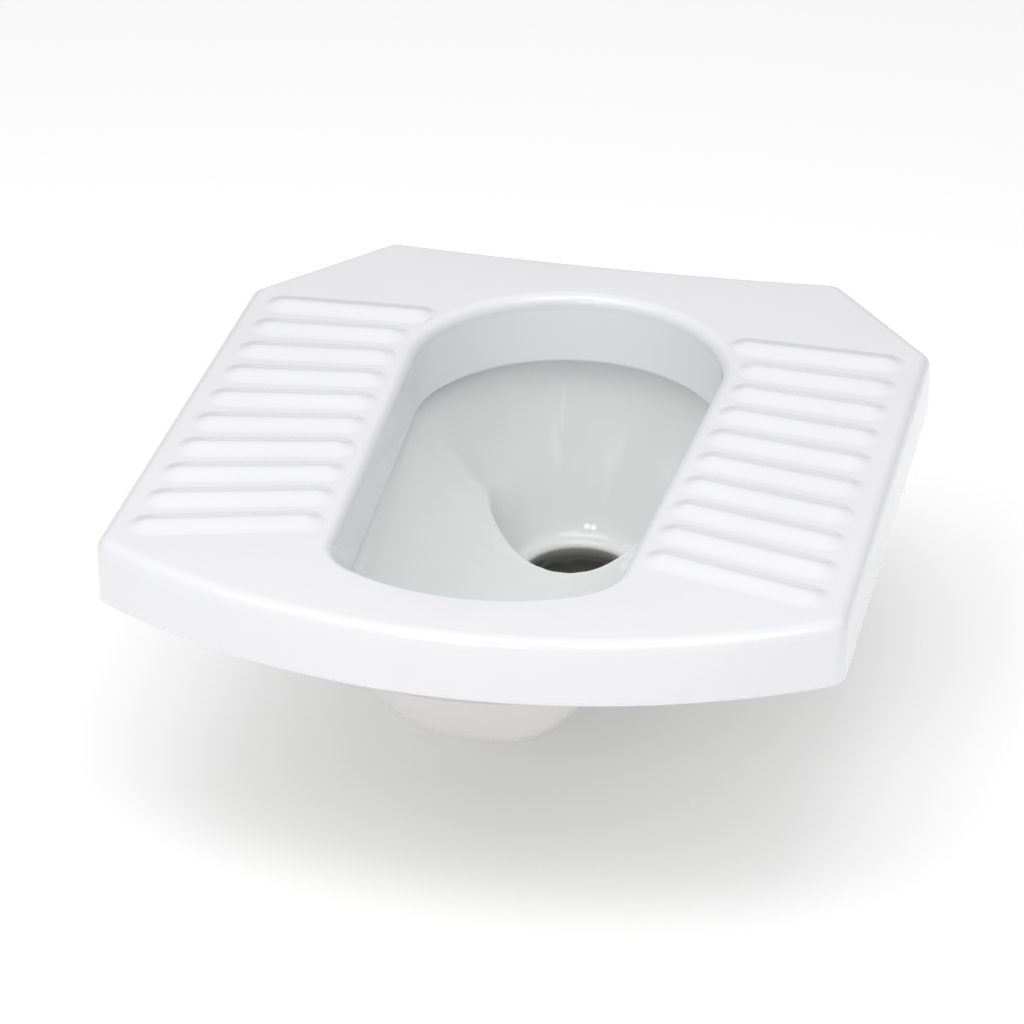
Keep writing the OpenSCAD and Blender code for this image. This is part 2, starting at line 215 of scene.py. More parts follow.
# The basin opening's outline.
side_slope = (open_w_back - open_w_front) / 2 / (gauge_front - gauge_back)
side_foot = open_w_back / 2 + side_slope * gauge_back
side_a = -math.degrees(math.atan(side_slope))
front_arc_y = open_front_r - open_front
open_back_r = open_w_back / 2 + open_back_ease
back_arc_y = open_back - open_back_r
open_front_c = corner_centre(side_slope, side_foot, open_front_corner_r,
                             open_front_r, front_arc_y, -1)
open_back_c = corner_centre(side_slope, side_foot, open_back_corner_r,
                            open_back_r, back_arc_y, 1)
open_front_a = angle_of(open_front_c - [0, front_arc_y])
open_back_a = angle_of(open_back_c - [0, back_arc_y])
open_side = [
    (open_front_c, open_front_corner_r, open_front_a, side_a, 1),
    (open_front_c + open_front_corner_r * polar(side_a),
     open_back_c + open_back_corner_r * polar(side_a)),
    (open_back_c, open_back_corner_r, side_a, open_back_a, 1),
]
open_path = (
    [(np.array([0, front_arc_y]), open_front_r, -180 - open_front_a, open_front_a, 1)]
    + open_side
    + [(np.array([0, back_arc_y]), open_back_r, open_back_a, 180 - open_back_a, 1)]
    + [mirrored(s) for s in reversed(open_side)]
)


def half_open(y):
    """Half the opening's width at y."""
    y = np.asarray(y, float)
    end = np.sqrt(np.maximum(0, open_back_r ** 2 - (y - back_arc_y) ** 2))
    rise = y - open_back_c[1]
    corner = open_back_c[0] + np.sqrt(np.maximum(0, open_back_corner_r ** 2 - rise ** 2))
    side = side_foot + side_slope * y
    turn_y = open_back_c[1] + open_back_corner_r * math.sin(math.radians(side_a))
    end_y = open_back_c[1] + open_back_corner_r * math.sin(math.radians(open_back_a))
    return np.where(y > end_y, end, np.where(y > turn_y, corner, side))


# ---- Sections, as points [out, up] from the edge of a path and the deck's top ----

def eased(low, high, value):
    """A soft step: 0 up to low, 1 from high."""
    share = np.clip((value - low) / (high - low), 0, 1)
    return share * share * (3 - 2 * share)


def bend(centre, r, start, end, steps):
    """Points on an arc of a section, from one angle to another."""
    return np.asarray(centre) + r * polar(np.linspace(start, end, steps + 1))


def raised(ring, z):
    """Plan points with a height each, or one for all."""
    return np.column_stack([ring, np.broadcast_to(z, len(ring))])


def section_rings(path, shares, section):
    return np.array([raised(loop_points(path, shares, u), DECK_Z + v) for u, v in section])


# ---- Meshes ----

def placed(name, data):
    """A new object in the scene."""
    piece = bpy.data.objects.new(name, data)
    bpy.context.scene.collection.objects.link(piece)
    return piece


def smoothed(mesh, sharp=35.0):
    """Shades a mesh smooth, and sharp where its faces meet more steeply than this."""
    mesh.shade_smooth()
    mesh.set_sharp_from_angle(angle=math.radians(sharp))


def as_object(name, verts, faces, sharp=35.0):
    """A smooth-shaded object from points in millimetres."""
    mesh = bpy.data.meshes.new(name)
    mesh.from_pydata((np.asarray(verts) * MM).tolist(), [], faces)
    mesh.validate()
    smoothed(mesh, sharp)
    return placed(name, mesh)


def loft(name, rings, sharp=35.0):
    """A closed shell through rings that follow each other round a section."""
    rings = np.asarray(rings)
    m, n = rings.shape[:2]
    k = np.arange(m)[:, None]
    i = np.arange(n)[None, :]
    a = k * n + i
    b = k * n + (i + 1) % n
    c = (k + 1) % m * n + (i + 1) % n
    d = (k + 1) % m * n + i
    faces = np.stack([a, d, c, b], axis=-1).reshape(-1, 4).tolist()
    return as_object(name, rings.reshape(-1, 3), faces, sharp)


def turned(profile, axis_z=None, steps=96):
    """Rings of a profile turned about the Z axis, or about a line along Y at height axis_z."""
    around = polar(np.arange(steps) * 360 / steps)
    if axis_z is None:
        return np.array([raised(r * around, z) for r, z in profile])
    x, z = around.T
    return np.array([np.column_stack([r * x, np.full(steps, y), axis_z + r * z])
                     for r, y in profile])


def point_outwards(piece):
    mesh = bmesh.new()
    mesh.from_mesh(piece.data)
    bmesh.ops.recalc_face_normals(mesh, faces=mesh.faces)
    mesh.to_mesh(piece.data)
    mesh.free()


def cut_from(piece, cutter, sharp=35.0):
    """Takes the cutter's shape out of the piece."""
    point_outwards(cutter)
    step = piece.modifiers.new("cut", "BOOLEAN")
    step.operation = "DIFFERENCE"
    step.solver = "EXACT"
    step.object = cutter
    graph = bpy.context.evaluated_depsgraph_get()
    mesh = bpy.data.meshes.new_from_object(piece.evaluated_get(graph))
    piece.modifiers.remove(step)
    piece.data = mesh
    bpy.data.objects.remove(cutter)
    smoothed(mesh, sharp)


def paint(piece, name, values):
    """Keeps one number for each point of the piece, for its material to read."""
    layer = piece.data.attributes.new(name, "FLOAT", "POINT")
    layer.data.foreach_set("value", np.asarray(values, np.float32))


def places(piece):
    """The piece's points, in millimetres."""
    flat = np.empty(len(piece.data.vertices) * 3, np.float32)
    piece.data.vertices.foreach_get("co", flat)
    return flat.reshape(-1, 3).astype(float) / MM


def grown(holder, tree, values, name):
    """The plain mesh that a tree makes from holder, with its named inputs set."""
    modifier = holder.modifiers.new(tree.name, "NODES")
    modifier.node_group = tree
    for item in tree.interface.items_tree:
        if item.item_type == "SOCKET" and item.in_out == "INPUT" and item.name in values:
            modifier[item.identifier] = values[item.name]
    graph = bpy.context.evaluated_depsgraph_get()
    mesh = bpy.data.meshes.new_from_object(holder.evaluated_get(graph))
    mesh.name = name
    piece = placed(name, mesh)
    bpy.data.objects.remove(holder)
    return piece


def new_tree(name, inputs):
    """A Geometry Nodes tree with a mesh in, one out, and these named inputs."""
    tree = bpy.data.node_groups.new(name, "GeometryNodeTree")
    sockets = tree.interface
    sockets.new_socket("Geometry", in_out="INPUT", socket_type="NodeSocketGeometry")
    for label, kind in inputs:
        sockets.new_socket(label, in_out="INPUT", socket_type=kind)
    sockets.new_socket("Geometry", in_out="OUTPUT", socket_type="NodeSocketGeometry")
    return tree, tree.nodes.new("NodeGroupInput")


def end_tree(tree, geometry, material):
    """Ends a tree with real geometry that has this material."""
    real = tree.nodes.new("GeometryNodeRealizeInstances")
    finish = tree.nodes.new("GeometryNodeSetMaterial")
    finish.inputs["Material"].default_value = material
    result = tree.nodes.new("NodeGroupOutput")
    tree.links.new(geometry, real.inputs["Geometry"])
    tree.links.new(real.outputs["Geometry"], finish.inputs["Geometry"])
    tree.links.new(finish.outputs["Geometry"], result.inputs["Geometry"])


def dress(piece, node, material):
    """Puts a finish on a piece that stands for a node of the construction."""
    piece.data.materials.clear()
    piece.data.materials.append(material)
    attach(piece, "root")
    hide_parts(node)


# ---- Camera: the photograph's view, with the lens found from the pan's outline ----
view_target = Vector((0.009945, -0.261797, 0.232))
view_back = Vector((0.190752, -0.856902, 0.478889)).normalized()
view_distance = 2.82
focal_px = 4408.3
image_px = 1024
sensor_mm = 36.0

camera_data = bpy.data.cameras.new("photo_camera")
camera_data.sensor_width = sensor_mm
camera_data.lens = focal_px / image_px * sensor_mm
camera = placed("photo_camera", camera_data)
camera.location = view_target + view_back * view_distance
camera.rotation_euler = view_back.to_track_quat("Z", "Y").to_euler()
bpy.context.scene.camera = camera


# ---- Materials ----

def new_material(name):
    material = bpy.data.materials.new(name)
    material.use_nodes = True
    tree = material.node_tree
    tree.nodes.clear()
    shader = tree.nodes.new("ShaderNodeBsdfPrincipled")
    output = tree.nodes.new("ShaderNodeOutputMaterial")
    tree.links.new(shader.outputs["BSDF"], output.inputs["Surface"])
    return material, tree, shader


def noise(tree, scale, detail=2.0, rough=0.5):
    place = tree.nodes.new("ShaderNodeTexCoord")
    grain = tree.nodes.new("ShaderNodeTexNoise")
    grain.inputs["Scale"].default_value = scale
    grain.inputs["Detail"].default_value = detail
    grain.inputs["Roughness"].default_value = rough
    tree.links.new(place.outputs["Object"], grain.inputs["Vector"])
    return grain.outputs["Fac"]


def ramp(tree, value, low, high, to_low=0.0, to_high=1.0):
    """Goes softly from to_low to to_high while the value goes from low to high."""
    step = tree.nodes.new("ShaderNodeMapRange")
    step.interpolation_type = "SMOOTHSTEP"
    step.inputs["From Min"].default_value = low
    step.inputs["From Max"].default_value = high
    step.inputs["To Min"].default_value = to_low
    step.inputs["To Max"].default_value = to_high
    tree.links.new(value, step.inputs["Value"])
    return step.outputs["Result"]


def sums(tree, operation, a, b):
    node = tree.nodes.new("ShaderNodeMath")
    node.operation = operation
    for socket, value in ((node.inputs[0], a), (node.inputs[1], b)):
        if isinstance(value, (int, float)):
            socket.default_value = value
        else:
            tree.links.new(value, socket)
    return node.outputs[0]


def tinted(tree, share, under, over):
    """Colour that goes from one to the other; either may be a colour or a socket."""
    node = tree.nodes.new("ShaderNodeMix")
    node.data_type = "RGBA"
    tree.links.new(share, node.inputs["Factor"])
    for socket, value in ((node.inputs["A"], under), (node.inputs["B"], over)):
        if isinstance(value, tuple):
            socket.default_value = (*value, 1)
        else:
            tree.links.new(value, socket)
    return node.outputs["Result"]


def painted(tree, name):
    """The number that the piece keeps for each point under this name."""
    layer = tree.nodes.new("ShaderNodeAttribute")
    layer.attribute_type = "GEOMETRY"
    layer.attribute_name = name
    return layer.outputs["Fac"]


# Colours, and in each pair of glazes the tint and the place where it pools.
biscuit = (0.74, 0.70, 0.63)
biscuit_dark = (0.66, 0.61, 0.53)
pipe_shade = (0.065, 0.065, 0.062)
# Thin glaze under the bowl, made darker as painted shade.
thin_glaze_and_shade = (0.63, 0.625, 0.605)
top_colours = ((0.81, 0.81, 0.833), (0.79, 0.79, 0.816))
rim_colours = ((0.83, 0.835, 0.85), (0.81, 0.815, 0.83))
bowl_colours = ((0.80, 0.81, 0.81), (0.78, 0.79, 0.79))
under_colours = ((0.79, 0.79, 0.78), (0.75, 0.747, 0.733))
top_gloss = 0.08
under_gloss = 0.09
under_speck = 0.5

# Noise from broad to fine, in cells to the metre.
cloud_scale = 9.0
ripple_scale = 24.0
wipe_scale = 60.0
grit_scale = 150.0
peel_scale = 260.0
pinhole_scale = 420.0

# Bands of the noise, from none to full.
cloud_band = (0.35, 0.75)
pinhole_band = (0.70, 0.80)
middle_band = (0.3, 0.7)
wiped_band = (0.35, 0.62)

glaze_ior = 1.5
body_specular = 0.2
body_rough = 0.4
biscuit_rough = 0.85
wipe_wander = 0.22
peel_share = 0.06
ripple_strength = 0.04
ripple_height = 0.002


def glazed_china(name, tint, pool, gloss=0.035, speck=0.0, bare=False, painted_shade=None):
    """Fired body under a clear glaze: a faint cloud in its colour, a soft ripple in the gloss,
    pinholes where the glaze is thin, bare biscuit where the piece was wiped or ground, and
    painted shade where the points carry it."""
    material, tree, shader = new_material(name)
    link = tree.links.new
    colour = tinted(tree, ramp(tree, noise(tree, cloud_scale), *cloud_band), tint, pool)
    if speck:
        pinholes = ramp(tree, noise(tree, pinhole_scale, detail=1.0), *pinhole_band, 0.0, speck)
        colour = tinted(tree, pinholes, colour, biscuit_dark)
    shader.inputs["Coat Roughness"].default_value = gloss
    shader.inputs["Coat IOR"].default_value = glaze_ior
    shader.inputs["Specular IOR Level"].default_value = body_specular
    if bare:
        ragged = noise(tree, wipe_scale, detail=3.0)
        wander = ramp(tree, ragged, *middle_band, -wipe_wander, wipe_wander)
        wiped = ramp(tree, sums(tree, "ADD", painted(tree, "bare"), wander), *wiped_band)
        grit = ramp(tree, noise(tree, grit_scale, detail=4.0, rough=0.65), *middle_band)
        colour = tinted(tree, wiped, colour, tinted(tree, grit, biscuit, biscuit_dark))
        link(ramp(tree, wiped, 0.0, 1.0, body_rough, biscuit_rough), shader.inputs["Roughness"])
        link(ramp(tree, wiped, 0.0, 1.0, 1.0, 0.0), shader.inputs["Coat Weight"])
    else:
        shader.inputs["Roughness"].default_value = body_rough
        shader.inputs["Coat Weight"].default_value = 1.0
    # Painted shade: where the points carry it, the colour turns towards a darker shade colour.
    if painted_shade:
        colour = tinted(tree, painted(tree, "painted_shade"), colour, painted_shade)
    link(colour, shader.inputs["Base Color"])
    peel = sums(tree, "MULTIPLY", noise(tree, peel_scale, detail=1.0), peel_share)
    ripple = tree.nodes.new("ShaderNodeBump")
    ripple.inputs["Strength"].default_value = ripple_strength
    ripple.inputs["Distance"].default_value = ripple_height
    waves = noise(tree, ripple_scale, detail=1.0)
    link(sums(tree, "ADD", waves, peel), ripple.inputs["Height"])
    link(ripple.outputs["Normal"], shader.inputs["Coat Normal"])
    return material


deck_glaze = glazed_china("deck_glaze", *top_colours, gloss=top_gloss, bare=True)
tread_glaze = glazed_china("tread_glaze", *top_colours, gloss=top_gloss)
rim_glaze = glazed_china("rim_glaze", *rim_colours)
bowl_glaze = glazed_china("bowl_glaze", *bowl_colours, painted_shade=thin_glaze_and_shade)
under_glaze = glazed_china("under_glaze", *under_colours, gloss=under_gloss, speck=under_speck,
                           bare=True, painted_shade=pipe_shade)

# ---- Deck ----
# Steps on each segment of the two outlines, and how many finer ones each holds.
loop_fine = 6
deck_steps = [18, 6, 4, 4, 1, 5, 8, 5, 1, 4, 4, 6]
lip_steps = [18, 6, 4, 6, 16, 6, 4, 6]
deck_shares = [even(n * loop_fine) for n in deck_steps]
lip_shares = [even(n * loop_fine) for n in lip_steps]

lip_section = np.vstack([[[0, -deck_t]], bend([lip_r, -lip_r], lip_r, 180, 90, steps=18)])
edge_section = np.vstack([
    bend([-edge_r, -edge_r], edge_r, 90, 0, steps=18),
    bend([-hem_r, hem_r - skirt_h], hem_r, 0, -90, steps=10),
    bend([inner_hem_r - skirt_t, inner_hem_r - skirt_h], inner_hem_r, -90, -180, steps=6),
    [[-skirt_t, -deck_t]],
])
deck = loft("deck_shell", np.concatenate([
    section_rings(open_path, lip_shares, lip_section),
    section_rings(deck_path, deck_shares, edge_section),
]))

# The notch for the flush pipe: round over the pipe, with rounded edges on both faces.
# The edges' arcs end a little past the faces, so that the cut leaves no thin step.
axis_gap = 0.01
notch_edge_r = 2.5
notch_edge_in = 2.0
notch_edge_out = 2.2
notch_r = inlet_od / 2 + notch_gap
notch_roof = DECK_Z - deck_t - 0.4
skirt_back = deck_back - back_dip
skirt_inside = skirt_back - skirt_t
notch_from = skirt_inside - 4
notch_to = skirt_back + 8
inlet_z = DECK_Z - inlet_drop
notch = turned(np.vstack([
    [[axis_gap, notch_from], [notch_r, notch_from]],
    bend([notch_r, skirt_inside + notch_edge_in], notch_edge_r, -90, -180, steps=5),
    bend([notch_r, skirt_back - notch_edge_out], notch_edge_r, 180, 90, steps=5),
    [[notch_r, notch_to], [axis_gap, notch_to]],
]), inlet_z)
notch[..., 2] = np.minimum(notch[..., 2], notch_roof)
cut_from(deck, loft("notch_cutter", notch))
hem_bare = (0.2, 1.6)
paint(deck, "bare", 1 - eased(*hem_bare, places(deck)[:, 2] - (DECK_Z - skirt_h)))
dress(deck, "deck", deck_glaze)

# ---- Flush rim ----
rim_section = np.vstack([
    [[rim_wall, -deck_t], [rim_wall, rim_wall - rim_drop], [rim_w - rim_wall, rim_wall - rim_drop],
     [rim_w - rim_wall, -deck_t], [rim_w, -deck_t], [rim_w, -rim_drop]],
    bend([rim_edge_r, rim_edge_r - rim_drop], rim_edge_r, 270, 180, steps=8),
    [[0, -deck_t]],
])
rim = loft("rim_blank", section_rings(open_path, lip_shares, rim_section))
drill_sides = 24
drill_length = 16.0


def drill_tree(material):
    """Drills a straight hole at each point of a pattern, along the point's own lean."""
    tree, given = new_tree("drill_wash_holes", [
        ("Hole Pattern", "NodeSocketObject"),
        ("Hole Diameter", "NodeSocketFloat"),
        ("Drill Length", "NodeSocketFloat"),
    ])
    nodes, link = tree.nodes, tree.links.new
    pattern = nodes.new("GeometryNodeObjectInfo")
    lean = nodes.new("GeometryNodeInputNamedAttribute")
    lean.data_type = "FLOAT_VECTOR"
    lean.inputs["Name"].default_value = "lean"
    turn = nodes.new("FunctionNodeAlignRotationToVector")
    turn.axis = "Z"
    half = nodes.new("ShaderNodeMath")
    half.operation = "MULTIPLY"
    half.inputs[1].default_value = 0.5
    drill = nodes.new("GeometryNodeMeshCylinder")
    drill.inputs["Vertices"].default_value = drill_sides
    copies = nodes.new("GeometryNodeInstanceOnPoints")
    real_drills = nodes.new("GeometryNodeRealizeInstances")
    bore = nodes.new("GeometryNodeMeshBoolean")
    bore.operation = "DIFFERENCE"
    link(given.outputs["Hole Pattern"], pattern.inputs["Object"])
    link(given.outputs["Hole Diameter"], half.inputs[0])
    link(half.outputs[0], drill.inputs["Radius"])
    link(given.outputs["Drill Length"], drill.inputs["Depth"])
    link(lean.outputs["Attribute"], turn.inputs["Vector"])
    link(pattern.outputs["Geometry"], copies.inputs["Points"])
    link(drill.outputs["Mesh"], copies.inputs["Instance"])
    link(turn.outputs["Rotation"], copies.inputs["Rotation"])
    link(copies.outputs["Instances"], real_drills.inputs["Geometry"])
    link(given.outputs["Geometry"], bore.inputs["Mesh 1"])
    link(real_drills.outputs["Geometry"], bore.inputs["Mesh 2"])
    end_tree(tree, bore.outputs["Mesh"], material)
    return tree


def wash_pattern():
    """The middle of each wash hole, and the way that it leans, out to in from below."""
    hole_in = np.array([rim_wall + wash_d, rim_wall - rim_drop])
    hole_out = np.array([(rim_edge_r + recess) / 2, -rim_drop])
    middle, run = (hole_in + hole_out) / 2, hole_in - hole_out
    spots, leans = [], []
    # The opening's path has its ends at 0 and 4, its sides at 2 and 6 and corners between.
    for index, count in ((0, wash_front), (2, wash_side), (4, wash_back), (6, wash_side)):
        share = (np.arange(count) + 0.5) / count
        foot = along(open_path[index], share, 0)
        way = unit(along(open_path[index], share, 1) - foot)
        spots.append(raised(foot + middle[0] * way, DECK_Z + middle[1]))
        leans.append(raised(run[0] * way, run[1]))
    pattern = bpy.data.meshes.new("wash_pattern")
    pattern.from_pydata((np.concatenate(spots) * MM).tolist(), [], [])
    layer = pattern.attributes.new("lean", "FLOAT_VECTOR", "POINT")
    layer.data.foreach_set("vector", np.concatenate(leans).ravel().astype(np.float32))
    return placed("wash_pattern", pattern)


# The window for the inlet stops above the rim's floor.
port_r = port_d / 2
port_over = 1
port_from = open_back + rim_w - rim_wall - port_over
port_to = open_back + rim_w + port_over
port = turned([(axis_gap, port_from), (port_r, port_from),
               (port_r, port_to), (axis_gap, port_to)], inlet_z, steps=48)
port[..., 2] = np.maximum(port[..., 2], rim_z + rim_wall + port_over)
cut_from(rim, loft("port_cutter", port))
wash_holes = wash_pattern()
rim = grown(rim, drill_tree(rim_glaze), {
    "Hole Pattern": wash_holes,
    "Hole Diameter": wash_d * MM,
    "Drill Length": drill_length * MM,
}, "flush_rim_wall")
bpy.data.objects.remove(wash_holes)
smoothed(rim.data)
dress(rim, "flush_rim", rim_glaze)

# ---- Bowl ----
mouth_rad = outlet_d / 2 + mouth_r
bowl_depth = rim_z - joint_z
shelf_y = shelf_end - open_front - recess
under_flange = rim_z - flange_t - 1
bowl_fine = 5
bowl_count = 96
# Shares of the rings' spacing: even, growing from the mouth, and how late it evens out.
ring_even = 0.3
ring_growth = 0.7
ring_settle = 4
# Rings of the outer skin that the flange and the neck stand in for.
skin_top = 3
skin_foot = 4

# trough_n rounds the trough's outline. Each profile is (1 - share ** q) ** b: q keeps the floor
# flat for longer, and b above 1 runs out softly at the edge. Behind the outlet, back_q and back_b
# take over in the trough, and the funnel has less of both.
trough_n = 3.8
trough_q = 2.35
trough_b = 1.45
back_q = 7.0
back_b = 0.5
funnel_q = 2.6
funnel_b = 2.7
funnel_q_less = 1.0
funnel_b_less = 0.1
funnel_blend = 8
# How far round a ray points to the back, -1 to 1, where the back's profiles take over.
trough_turn = (-0.3, 1.0)
funnel_turn = (-0.7, 0.3)


def trough_share(x, y):
    """Share of the way from the trough's middle line to its side, 1 at the rim."""
    side = half_open(np.minimum(y, -gauge_back)) + recess
    return ((np.abs(x) / side) ** trough_n
            + (np.maximum(0, shelf_y - y) / shelf_end) ** trough_n
            + (np.maximum(0, y) / (open_back + recess)) ** trough_n) ** (1 / trough_n)


def funnel_reach(way, length):
    """Where the funnel's edge lies along each ray; behind, it runs out to the rim."""
    ahead = way[:, 1] < 0
    edge = 1 / np.hypot(way[:, 0] / funnel_side, way[:, 1] / np.where(ahead, funnel_front, length))
    blend = (length ** -funnel_blend + edge ** -funnel_blend) ** (-1 / funnel_blend)
    return np.where(ahead, blend, np.minimum(edge, length))


def trough_depth(x, y, rim_share, way):
    """Depth of the trough: soft sides ahead, and a steep wall behind the outlet."""
    behind = eased(*trough_turn, way[:, 1])
    share = np.minimum(1, trough_share(x, y) / rim_share)
    fall = shelf_fall * np.clip((y + open_front) / (open_front - funnel_front), 0, 1)
    q = trough_q + (back_q - trough_q) * behind
    b = trough_b + (back_b - trough_b) * behind
    return (shelf_depth + fall) * (1 - share ** q) ** b


def inside_depth(plan, way, rim_share, reach):
    """Depth below the rim: the trough, drawn down to the mouth inside the funnel's edge."""
    trough = trough_depth(plan[..., 0], plan[..., 1], rim_share, way)
    share = np.clip((np.linalg.norm(plan, axis=-1) - mouth_rad) / (reach - mouth_rad), 0, 1)
    behind = eased(*funnel_turn, way[:, 1])
    q = funnel_q - funnel_q_less * behind
    b = funnel_b - funnel_b_less * behind
    return trough + (bowl_depth - trough) * (1 - share ** q) ** b


def bowl_rings(shares, count):
    """The bowl's rings: count of them up its inside, then the rim's, the flange's two, and down
    its outer skin to the neck."""
    rim_ring = loop_points(open_path, shares, recess)
    flange_ring = loop_points(open_path, shares, rim_w)
    way = unit(rim_ring)
    length = np.linalg.norm(rim_ring, axis=1)
    rim_share = trough_share(rim_ring[:, 0], rim_ring[:, 1])
    reach = funnel_reach(way, length)
    k = np.arange(count + 1) / count
    run = ring_even * k + ring_growth * k * k
    run = run + (k - run) * k ** ring_settle
    mouth = mouth_rad * way
    plan = mouth + run[:, None, None] * (rim_ring - mouth)

    def sheet(edge):
        depth = inside_depth(plan, way, rim_share, edge)
        depth[-1] = 0
        return np.concatenate([plan, (rim_z - depth)[..., None]], axis=-1)

    inside = sheet(reach)
    skin = sheet(np.maximum(reach, funnel_side))
    across = np.roll(skin, -1, axis=1) - np.roll(skin, 1, axis=1)
    up = np.empty_like(skin)
    up[1:-1] = skin[2:] - skin[:-2]
    up[0] = skin[1] - skin[0]
    up[-1] = skin[-1] - skin[-2]
    outside = skin + bowl_wall * unit(np.cross(across, up))
    outside[..., 2] = np.minimum(outside[..., 2], under_flange)
    neck = raised((mouth_rad + bowl_wall) * way, joint_z)
    flange = [raised(rim_ring, rim_z), raised(flange_ring, rim_z),
              raised(flange_ring, rim_z - flange_t)]
    outside = outside[count - skin_top:skin_foot:-1]
    return np.concatenate([inside[:-1], flange, outside, [neck]])


bowl_steps = [8, 7, 12, 6, 16, 6, 12, 7]
bowl_shares = [even(n * bowl_fine) for n in bowl_steps]
rings = bowl_rings(bowl_shares, bowl_count)
bowl = loft("bowl_shell", rings)
# From the flange's lower edge down, the outside has only a thin glaze, painted darker as shade
# under the bowl.
outer = np.arange(rings.shape[0]) > bowl_count + 1
paint(bowl, "painted_shade", np.repeat(outer, rings.shape[1]))
dress(bowl, "bowl", bowl_glaze)

# ---- Foot treads ----
# Each rib rises over its line's reach on both sides. The patch that carries them sinks a little
# into the deck between them.
rib_reach = 15.5
rib_top = 3.7
sink = 0.03
patch_in = 10.5
patch_out = 12.5
patch_end = 6
patch_step = 1.1
patch_t = 2.0


def rib_inner(i):
    """The inner end of a rib's line, for the right tread."""
    y = rib_start - i * rib_pitch_in
    return (float(half_open(y)) + rib_gap_in + rib_foot, y)


def rib_outer(i):
    """The same line's outer end."""
    return (half_w - rib_gap_out - rib_foot, rib_start - rib_lead - i * rib_pitch_out)


def rib_tree(material):
    """Raises a smooth rib along each line, by the distance to the nearest one."""
    tree, given = new_tree("raise_ribs", [
        ("Rib Lines", "NodeSocketObject"),
        ("Rib Height", "NodeSocketFloat"),
        ("Rib Reach", "NodeSocketFloat"),
        ("Sink", "NodeSocketFloat"),
    ])
    nodes, link = tree.nodes, tree.links.new
    lines = nodes.new("GeometryNodeObjectInfo")
    near = nodes.new("GeometryNodeProximity")
    near.target_element = "EDGES"
    height = nodes.new("ShaderNodeMapRange")
    height.interpolation_type = "SMOOTHSTEP"
    offset = nodes.new("ShaderNodeCombineXYZ")
    drop = nodes.new("ShaderNodeMath")
    drop.operation = "MULTIPLY"
    drop.inputs[1].default_value = -1.0
    lift = nodes.new("GeometryNodeSetPosition")
    link(given.outputs["Rib Lines"], lines.inputs["Object"])
    link(lines.outputs["Geometry"], near.inputs["Geometry"])
    link(near.outputs["Distance"], height.inputs["Value"])
    link(given.outputs["Rib Reach"], height.inputs["From Max"])
    link(given.outputs["Rib Height"], height.inputs["To Min"])
    link(given.outputs["Sink"], drop.inputs[0])
    link(drop.outputs[0], height.inputs["To Max"])
    link(height.outputs["Result"], offset.inputs["Z"])
    link(given.outputs["Geometry"], lift.inputs["Geometry"])
    link(offset.outputs["Vector"], lift.inputs["Offset"])
    end_tree(tree, lift.outputs["Geometry"], material)
    return tree


def tread_patch(name, side):
    """The deck's face under one tread, as a grid between the basin's lip and the deck's edge."""
    top = rib_start + rib_foot + patch_end
    bottom = rib_outer(rib_count - 1)[1] - rib_foot - patch_end
    y = np.linspace(top, bottom, int((top - bottom) / patch_step))
    inner = half_open(y) + patch_in
    outer = half_w - patch_out
    across = np.linspace(0, 1, int((outer - inner.min()) / patch_step))
    x = inner[:, None] + across[None, :] * (outer - inner[:, None])
    y = np.broadcast_to(y[:, None], x.shape)
    points = np.stack([side * x, y, np.full(x.shape, DECK_Z)], axis=-1)
    rows, columns = x.shape
    k = np.arange(rows - 1)[:, None]
    i = np.arange(columns - 1)[None, :]
    a = k * columns + i
    quad = [a, a + columns, a + columns + 1, a + 1]
    if side < 0:
        quad.reverse()
    faces = np.stack(quad, axis=-1).reshape(-1, 4).tolist()
    return as_object(name, points.reshape(-1, 3), faces, sharp=180)


def close_below(piece, depth):
    """Turns an open patch into a closed solid with a flat underside."""
    mesh = bmesh.new()
    mesh.from_mesh(piece.data)
    border = [e for e in mesh.edges if e.is_boundary]
    skirt = bmesh.ops.extrude_edge_only(mesh, edges=border)["geom"]
    low = [e for e in skirt if isinstance(e, bmesh.types.BMEdge)]
    for v in {v for e in low for v in e.verts}:
        v.co.z = (DECK_Z - depth) * MM
    bmesh.ops.contextual_create(mesh, geom=[e for e in low if e.is_boundary])
    bmesh.ops.recalc_face_normals(mesh, faces=mesh.faces)
    mesh.to_mesh(piece.data)
    mesh.free()


raise_ribs = rib_tree(tread_glaze)
for side, label in ((-1, "left"), (1, "right")):
    ends = []
    for i in range(rib_count):
        for x, y in (rib_inner(i), rib_outer(i)):
            ends.append((side * x * MM, y * MM, DECK_Z * MM))
    lines_mesh = bpy.data.meshes.new("rib_lines")
    lines_mesh.from_pydata(ends, [(2 * i, 2 * i + 1) for i in range(rib_count)], [])
    lines = placed("rib_lines", lines_mesh)
    tread = grown(tread_patch(label + "_patch", side), raise_ribs, {
        "Rib Lines": lines,
        "Rib Height": rib_top * MM,
        "Rib Reach": rib_reach * MM,
        "Sink": sink * MM,
    }, label + "_tread_ribs")
    bpy.data.objects.remove(lines)
    close_below(tread, patch_t)
    smoothed(tread.data, sharp=60)
    dress(tread, label + "_tread", tread_glaze)

# ---- Outlet spigot: a rounded mouth, a bore painted dark as shade, a ground foot and a collar ----
bore_r = outlet_d / 2
bore_edge_r = 1.2
spigot_r = spigot_d / 2
neck_r = mouth_rad + bowl_wall
# Heights of plain rings in the bore and on the wall, which carry the painted shade and the bare
# foot.
bore_rings = (34, 28, 22, 16, 10, 4)
wall_rings = (6, 12, 18, 24)
